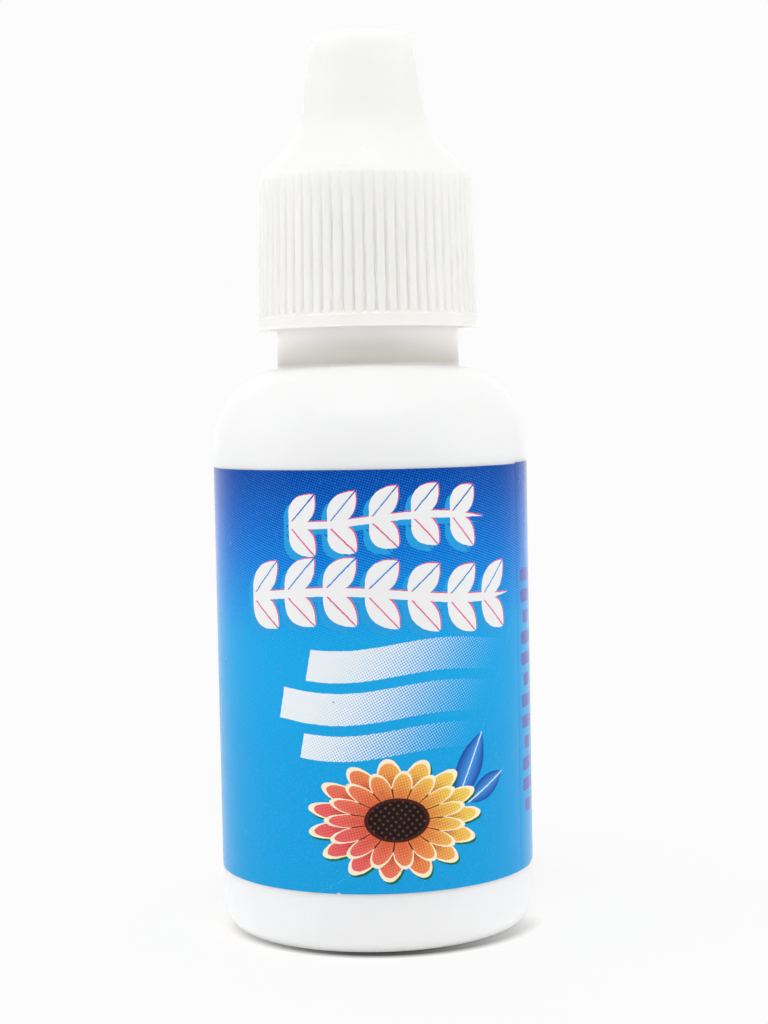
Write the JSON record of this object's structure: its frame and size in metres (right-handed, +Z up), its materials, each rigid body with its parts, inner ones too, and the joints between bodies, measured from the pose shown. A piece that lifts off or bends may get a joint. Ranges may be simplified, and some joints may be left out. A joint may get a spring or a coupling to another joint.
{
  "type": "eye drop bottle",
  "caption": "Small round squeeze bottle with a pressed-in dropper tip, a ribbed bell-shaped screw cap and a wrap-around film label.",
  "frame": {"origin": "centre of the bottle's base, on the surface it stands on", "axes": "+Z up along the bottle's axis; the front of the label faces -Y, +X is to the viewer's right"},
  "size_m": [0.025, 0.025, 0.0703],
  "materials": {
    "bottle_plastic": "milky white soft polyethylene, satin",
    "tip_plastic": "translucent natural polyethylene, satin",
    "cap_plastic": "white moulded polypropylene, soft gloss",
    "seal_plastic": "white soft elastomer, matt",
    "label_film": "printed film, glossy, blue graded from royal at the top to sky blue"
  },
  "bodies": {
    "bottle_body": {"bottle": "bottle_plastic", "dropper_tip": "tip_plastic", "label": "label_film"},
    "cap_rise": {"tip_seal": "seal_plastic"},
    "cap_turn_body": {"cap": "cap_plastic"}
  },
  "joints": [
    {"name": "cap_lift", "type": "slide", "parent": "bottle_body", "child": "cap_rise", "axis": [0, 0, 1], "range_m": [0, 0.021]},
    {"name": "cap_turn", "type": "hinge", "parent": "cap_rise", "child": "cap_turn_body", "pos_m": [0, 0, 0.0588], "axis": [0, 0, 1], "range_deg": [0, 3024]}
  ],
  "couplings": [
    {"joint": "cap_lift", "follows": "cap_turn", "m_per_rad": 0.00039789}
  ]
}
